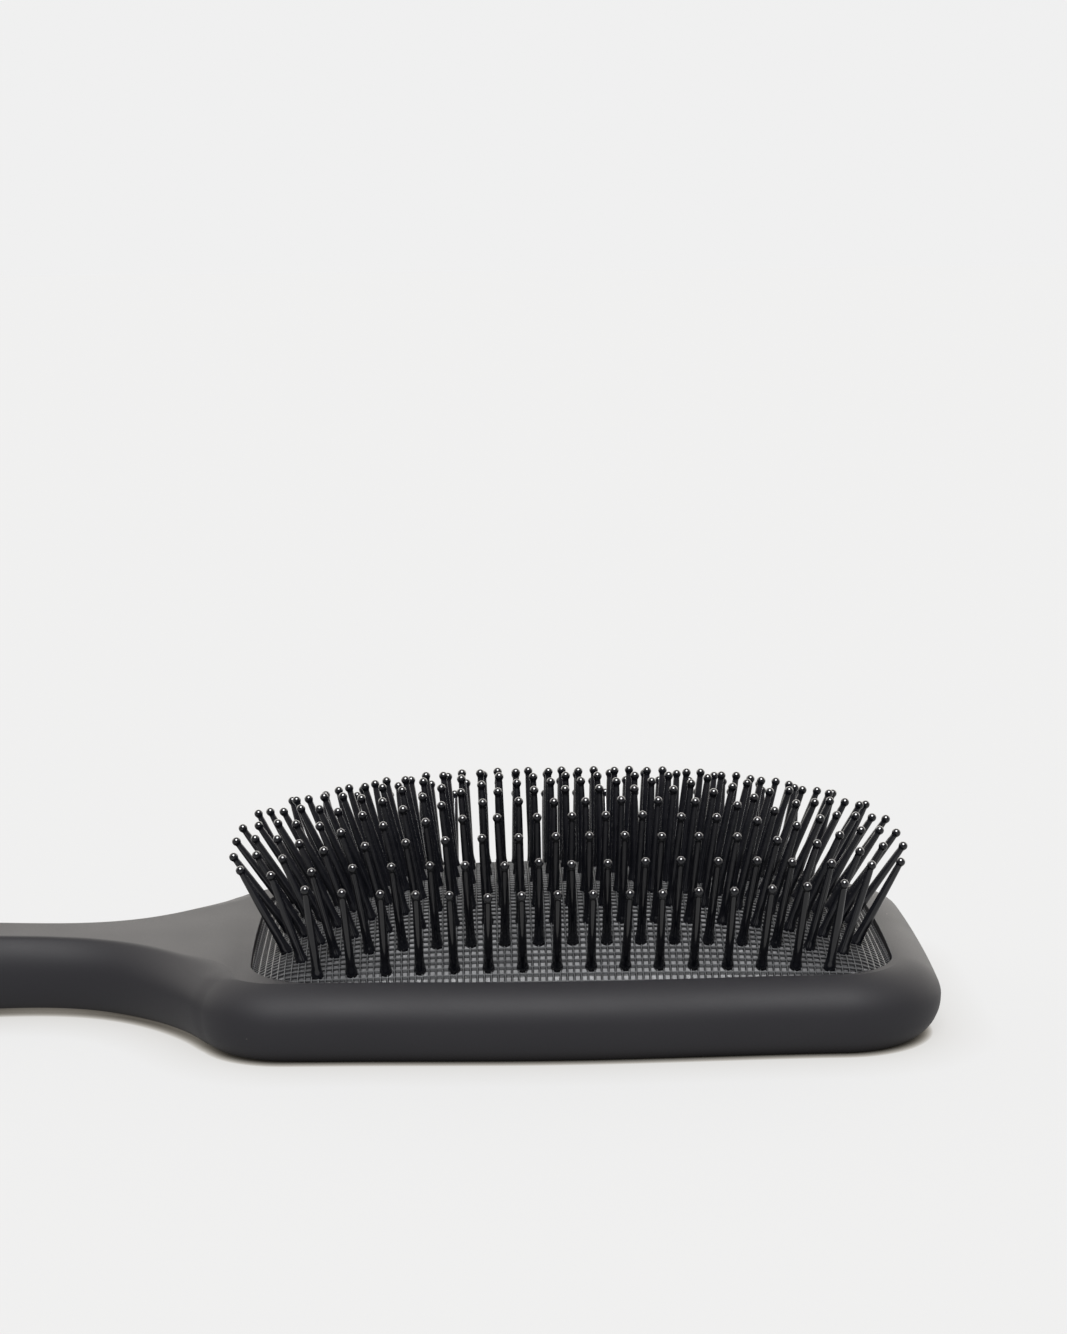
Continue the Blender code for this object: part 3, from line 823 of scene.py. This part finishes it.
class Nodes:
    """A node material with a few short ways to add nodes."""

    def __init__(self, name):
        self.material = bpy.data.materials.new(name)
        self.material.use_nodes = True
        self.tree = self.material.node_tree
        self.shader = self.tree.nodes["Principled BSDF"]
        self.place = self.add("ShaderNodeTexCoord").outputs["Object"]

    def add(self, kind, **values):
        """Adds a node with its properties set."""
        node = self.tree.nodes.new(kind)
        for key, value in values.items():
            setattr(node, key, value)
        return node

    def link(self, source, target):
        """Joins an output with an input."""
        self.tree.links.new(source, target)

    def noise(self, size, detail=FULL_DETAIL):
        """Noise whose features are about that size."""
        node = self.add("ShaderNodeTexNoise")
        node.inputs["Scale"].default_value = 1 / size
        node.inputs["Detail"].default_value = detail
        node.inputs["Roughness"].default_value = NOISE_ROUGHNESS
        self.link(self.place, node.inputs["Vector"])
        return node.outputs["Fac"]

    def ramp(self, source, low, high, start=NOISE_LOW, end=NOISE_HIGH):
        """A value that goes from low to high as the source goes from start to end."""
        node = self.add("ShaderNodeMapRange", clamp=True)
        for key, value in (("From Min", start), ("From Max", end), ("To Min", low), ("To Max", high)):
            node.inputs[key].default_value = value
        self.link(source, node.inputs["Value"])
        return node.outputs["Result"]

    def maths(self, operation, first, second=0.0):
        """The result of an operation on one or two values, each an output or a number."""
        node = self.add("ShaderNodeMath", operation=operation)
        for socket, value in zip(node.inputs, (first, second)):
            if isinstance(value, (int, float)):
                socket.default_value = value
            else:
                self.link(value, socket)
        return node.outputs["Value"]

    def mix(self, share, first, second):
        """A colour between two."""
        node = self.add("ShaderNodeMix", data_type="RGBA")
        self.link(share, node.inputs["Factor"])
        for socket, value in ((node.inputs["A"], first), (node.inputs["B"], second)):
            if isinstance(value, tuple):
                socket.default_value = (*value, 1.0)
            else:
                self.link(value, socket)
        return node.outputs["Result"]

    def specks(self, cell, size, kept):
        """1 on small round specks, one in a share of the cells, else 0."""
        node = self.add("ShaderNodeTexVoronoi")
        node.inputs["Scale"].default_value = 1 / cell
        self.link(self.place, node.inputs["Vector"])
        near = self.maths("LESS_THAN", node.outputs["Distance"], size / cell)
        split = self.add("ShaderNodeSeparateColor")
        self.link(node.outputs["Color"], split.inputs["Color"])
        chosen = self.maths("LESS_THAN", split.outputs["Red"], kept)
        return self.maths("MULTIPLY", near, chosen)

    def bump(self, height, depth):
        """Surface relief of a depth."""
        node = self.add("ShaderNodeBump")
        node.inputs["Strength"].default_value = 1.0
        node.inputs["Distance"].default_value = depth
        self.link(height, node.inputs["Height"])
        self.link(node.outputs["Normal"], self.shader.inputs["Normal"])

    def set(self, **values):
        """Sets the shader's inputs to numbers, colours or outputs."""
        for name, value in values.items():
            socket = self.shader.inputs[name.replace("_", " ")]
            if isinstance(value, tuple):
                socket.default_value = (*value, 1.0)
            elif isinstance(value, (int, float)):
                socket.default_value = value
            else:
                self.link(value, socket)


def soft_touch_material():
    """Matt black rubbery coating: even, a little cloudy, with a fine grain and a few specks of dust."""
    look = Nodes("soft_touch_coating")
    cloud = look.noise(COATING_CLOUD, SOFT_DETAIL)
    grain = look.noise(COATING_GRAIN, SOFT_DETAIL)
    dust = look.specks(COATING_DUST_CELL, COATING_DUST_SIZE, COATING_DUST_SHARE)
    colour = look.mix(look.ramp(cloud, 0.0, 1.0), COATING_DARK, COATING_PALE)
    smear = look.ramp(cloud, *COATING_ROUGHNESS)
    roughness = look.maths("ADD", smear, look.ramp(grain, *COATING_GRAIN_ROUGHNESS))
    roughness = look.maths("ADD", roughness, look.maths("MULTIPLY", dust, COATING_DUST_ROUGHNESS))
    look.set(Base_Color=look.mix(dust, colour, COATING_DUST), Roughness=roughness)
    look.set(Specular_IOR_Level=COATING_SPECULAR)
    look.bump(grain, COATING_GRAIN_DEPTH)
    return look.material


def pin_material():
    """Glossy black nylon with faint flow marks."""
    look = Nodes("glossy_nylon")
    flow = look.noise(NYLON_FLOW)
    colour = look.mix(look.ramp(flow, 0.0, 1.0), NYLON_DARK, NYLON_PALE)
    look.set(Base_Color=colour, Roughness=look.ramp(flow, *NYLON_ROUGHNESS))
    look.set(Specular_IOR_Level=NYLON_SPECULAR)
    look.bump(look.noise(NYLON_RIPPLE, SOFT_DETAIL), NYLON_RIPPLE_DEPTH)
    return look.material


def grid_masks(look, axes):
    """1 on the floors of the cushion's pits, and 1 on the tops of its ribs, else 0."""
    rib_end = RIB_TOP / 2 / GRID_PITCH
    floor_start = rib_end + PIT_SLOPE / GRID_PITCH
    blend = [floor_start + share for share in PIT_BLEND_SHARES]
    floors = []
    tops = []
    for axis, middle in (("X", HEAD_X), ("Y", 0.0)):
        turns = look.maths("DIVIDE", look.maths("SUBTRACT", axes.outputs[axis], middle), GRID_PITCH)
        from_rib = look.maths("ABSOLUTE", look.maths("SUBTRACT", turns, look.maths("ROUND", turns)))
        floors.append(look.ramp(from_rib, 0.0, 1.0, *blend))
        tops.append(look.ramp(from_rib, 1.0, 0.0, rib_end, rib_end + RIB_BLEND_SHARE))
    return look.maths("MULTIPLY", *floors), look.maths("MAXIMUM", *tops)


def rubber_material():
    """Black moulded rubber. Rib tops are painted paler as lit and pit walls near black as shade. Pit floors
    carry a painted pale reflection of light, which fades to painted shade towards the short ends.
    """
    look = Nodes("moulded_rubber")
    cloud = look.noise(RUBBER_CLOUD)
    grain = look.noise(RUBBER_GRAIN, SOFT_DETAIL)
    dust = look.specks(RUBBER_DUST_CELL, RUBBER_DUST_SIZE, RUBBER_DUST_SHARE)
    axes = look.add("ShaderNodeSeparateXYZ")
    look.link(look.place, axes.inputs["Vector"])
    pit, top = grid_masks(look, axes)
    from_middle = look.maths("ABSOLUTE", look.maths("SUBTRACT", axes.outputs["X"], HEAD_X))
    # Painted shade: the painted glint on the pits' floors fades out towards the short ends
    glint_fade = look.ramp(from_middle, 0.0, 1.0, GLINT_FADE_START, GLINT_FADE_END)
    painted_glint = look.mix(look.ramp(cloud, 0.0, 1.0), PIT_GLINT_DARK, PIT_GLINT_PALE)
    painted_glint = look.mix(glint_fade, painted_glint, PIT_GLINT_FADED)
    # Painted light and shade: lit rib tops, shaded pit walls and a painted glint on the pit floors
    colour = look.mix(pit, look.mix(top, PIT_WALL_SHADE, RIB_LIT_COLOUR), painted_glint)
    wear = look.ramp(pit, RUBBER_ROUGHNESS, PIT_FLOOR_ROUGHNESS, 0.0, 1.0)
    roughness = look.maths("ADD", wear, look.ramp(grain, *RUBBER_GRAIN_ROUGHNESS))
    look.set(Base_Color=look.mix(dust, colour, RUBBER_DUST), Roughness=roughness)
    look.set(Specular_IOR_Level=RUBBER_SPECULAR)
    look.bump(grain, RUBBER_GRAIN_DEPTH)
    return look.material


def inner_plastic_material():
    """Plain moulded plastic with a satin grain."""
    look = Nodes("inner_plastic")
    grain = look.noise(TRAY_GRAIN)
    colour = look.mix(look.ramp(grain, 0.0, 1.0), TRAY_DARK, TRAY_PALE)
    look.set(Base_Color=colour, Roughness=look.ramp(grain, *TRAY_ROUGHNESS))
    look.bump(grain, TRAY_GRAIN_DEPTH)
    return look.material


def floor_material():
    """Pale studio floor with an even glow. A narrow, dark, warm painted contact shadow lies where something
    stands on it, with a wider faint painted shade.
    """
    look = Nodes("pale_floor")
    white = (1.0, 1.0, 1.0)
    cloud = look.noise(FLOOR_CLOUD, SOFT_DETAIL)
    tone = look.ramp(cloud, FLOOR_ALBEDO * (1 - FLOOR_CLOUD_SHARE), FLOOR_ALBEDO)
    look.set(Base_Color=look.mix(tone, (0.0, 0.0, 0.0), white), Roughness=1.0, Specular_IOR_Level=0.0)
    # Painted shadow: the floor's glow is dimmed and tinted where something stands close over it
    near = look.add("ShaderNodeAmbientOcclusion", samples=CONTACT_SAMPLES)
    near.inputs["Distance"].default_value = CONTACT_SHADOW_REACH
    wide = look.add("ShaderNodeAmbientOcclusion", samples=CONTACT_SAMPLES)
    wide.inputs["Distance"].default_value = SHADE_REACH
    contact_shadow = look.maths("POWER", near.outputs["AO"], CONTACT_SHADOW_POWER)
    shade = look.ramp(wide.outputs["AO"], 1 - SHADE_SHARE, 1.0, 0.0, 1.0)
    open_share = look.maths("MULTIPLY", contact_shadow, shade)
    glow = look.maths("MULTIPLY", open_share, FLOOR_GLOW)
    look.set(Emission_Color=look.mix(open_share, CONTACT_SHADOW_TINT, white), Emission_Strength=glow)
    return look.material


# Studio

def make_floor(material):
    """The floor that the brush lies on."""
    half = FLOOR_SIZE / 2
    corners = [(-half, -half, 0), (half, -half, 0), (half, half, 0), (-half, half, 0)]
    mesh = bpy.data.meshes.new("floor")
    mesh.from_pydata(corners, [], [(0, 1, 2, 3)])
    mesh.materials.append(material)
    floor = bpy.data.objects.new("floor", mesh)
    bpy.context.scene.collection.objects.link(floor)


def make_light(name, elevation, azimuth, size, strength):
    """A far light of an angular size, whose azimuth counts from the camera's side."""
    light = bpy.data.lights.new(name, "SUN")
    light.energy = strength
    light.angle = size
    lamp = bpy.data.objects.new(name, light)
    flat = math.cos(elevation)
    toward = Vector((flat * math.sin(azimuth), -flat * math.cos(azimuth), math.sin(elevation)))
    lamp.rotation_euler = toward.to_track_quat("Z", "Y").to_euler()
    bpy.context.scene.collection.objects.link(lamp)
    return lamp


def make_lights(pins):
    """A soft key light, and a large one for the pins alone, which gives their balls a white glint."""
    make_light("key", SUN_ELEVATION, SUN_AZIMUTH, SUN_SIZE, SUN_STRENGTH)
    glint = make_light(
        "pin_light", PIN_LIGHT_ELEVATION, PIN_LIGHT_AZIMUTH, PIN_LIGHT_SIZE, PIN_LIGHT_STRENGTH)
    lit = bpy.data.collections.new("pins")
    for obj in pins:
        lit.objects.link(obj)
    glint.light_linking.receiver_collection = lit


def make_world():
    """A studio, bright behind the brush and dim in front, and an even pale backdrop for the camera."""
    world = bpy.data.worlds.new("studio")
    bpy.context.scene.world = world
    world.use_nodes = True
    tree = world.node_tree
    backdrop = tree.nodes["Background"]
    backdrop.inputs["Color"].default_value = (1, 1, 1, 1)
    backdrop.inputs["Strength"].default_value = BACKDROP
    sky = tree.nodes.new("ShaderNodeBackground")
    sky.inputs["Color"].default_value = (*SKY_TINT, 1)
    place = tree.nodes.new("ShaderNodeTexCoord")
    split = tree.nodes.new("ShaderNodeSeparateXYZ")

    def eased(low, high, start, end):
        """A node that goes softly from low to high as its value goes from start to end."""
        node = tree.nodes.new("ShaderNodeMapRange")
        node.interpolation_type = "SMOOTHSTEP"
        for key, value in (("From Min", start), ("From Max", end), ("To Min", low), ("To Max", high)):
            node.inputs[key].default_value = value
        return node

    level = eased(SKY_FRONT, SKY_BACK, SKY_FRONT_Y, SKY_BACK_Y)
    height = eased(0.0, SKY_HIGH, SKY_LOW_Z, SKY_HIGH_Z)
    path = tree.nodes.new("ShaderNodeLightPath")
    mix = tree.nodes.new("ShaderNodeMixShader")
    for source, target in (
        (place.outputs["Generated"], split.inputs["Vector"]),
        (split.outputs["Y"], level.inputs["Value"]),
        (level.outputs["Result"], height.inputs["To Min"]),
        (split.outputs["Z"], height.inputs["Value"]),
        (height.outputs["Result"], sky.inputs["Strength"]),
        (path.outputs["Is Camera Ray"], mix.inputs["Fac"]),
        (sky.outputs["Background"], mix.inputs[1]),
        (backdrop.outputs["Background"], mix.inputs[2]),
        (mix.outputs["Shader"], tree.nodes["World Output"].inputs["Surface"]),
    ):
        tree.links.new(source, target)


def make_camera():
    """The photograph's viewpoint."""
    flat = math.cos(CAMERA_PITCH)
    ahead = Vector((-math.sin(CAMERA_YAW) * flat, math.cos(CAMERA_YAW) * flat, -math.sin(CAMERA_PITCH)))
    level = Vector((math.cos(CAMERA_YAW), math.sin(CAMERA_YAW), 0.0))
    above = level.cross(ahead)
    right = level * math.cos(CAMERA_ROLL) + above * math.sin(CAMERA_ROLL)
    up = above * math.cos(CAMERA_ROLL) - level * math.sin(CAMERA_ROLL)
    camera = bpy.data.cameras.new("camera")
    camera.sensor_width = SENSOR
    camera.lens = FOCAL_PIXELS / PHOTO_HEIGHT * SENSOR
    camera.clip_start = CAMERA_CLIP
    obj = bpy.data.objects.new("camera", camera)
    turn = Matrix((right, up, -ahead)).transposed().to_4x4()
    eye = Vector((HEAD_X, 0.0, 0.0)) + CAMERA_TARGET - ahead * CAMERA_DISTANCE
    obj.matrix_world = Matrix.Translation(eye) @ turn
    bpy.context.scene.collection.objects.link(obj)
    bpy.context.scene.camera = obj


def main():
    """Builds the brush and its studio."""
    bpy.context.scene.view_settings.view_transform = "Standard"
    side = Side()
    coating = soft_touch_material()
    make_shell(side, coating)
    make_back(side, coating)
    make_membrane(rubber_material())
    nylon = pin_material()
    chance = random.Random(PIN_SEED)
    pins = [make_pins(number, nylon, chance) for number in range(len(ROW_COUNTS))]
    dress_tray(inner_plastic_material())
    make_floor(floor_material())
    make_lights(pins)
    make_world()
    make_camera()


main()
